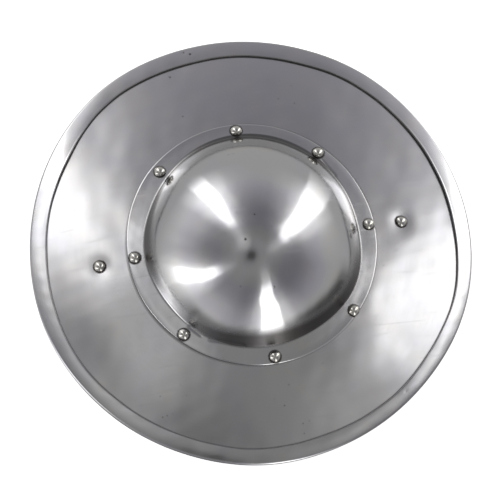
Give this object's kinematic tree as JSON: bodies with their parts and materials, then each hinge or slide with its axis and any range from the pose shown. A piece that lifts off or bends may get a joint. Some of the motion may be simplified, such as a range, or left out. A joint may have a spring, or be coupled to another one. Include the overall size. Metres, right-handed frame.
{
  "type": "buckler shield",
  "caption": "Round steel hand shield: a shallow conical dish with a folded hem, a riveted domed boss over the hand hole, and a rolled strap handle behind it.",
  "frame": {"origin": "centre of the circle that the rim rests on, at the height of its lowest line", "axes": "+Z out through the top of the boss, away from the hand; X along the handle; Y across it"},
  "size_m": [0.3003, 0.2995, 0.0713],
  "materials": {
    "dish_steel": "mild steel sheet, ground and polished to a soft satin, with faint streaks round the dish",
    "boss_steel": "mild steel sheet, raised and polished brighter than the dish, with clear but soft reflections",
    "handle_steel": "mild steel strap, plain and duller, with marks left from rolling",
    "rivet_steel": "round rivet heads, bright on the crown, with dark dirt round the foot"
  },
  "bodies": {
    "root": {"dish": "dish_steel", "boss": "boss_steel", "handle": "handle_steel", "boss_rivet_1": "rivet_steel", "boss_rivet_2": "rivet_steel", "boss_rivet_3": "rivet_steel", "boss_rivet_4": "rivet_steel", "boss_rivet_5": "rivet_steel", "boss_rivet_6": "rivet_steel", "boss_rivet_7": "rivet_steel", "boss_rivet_8": "rivet_steel", "handle_rivet_1": "rivet_steel", "handle_rivet_2": "rivet_steel"}
  },
  "joints": []
}
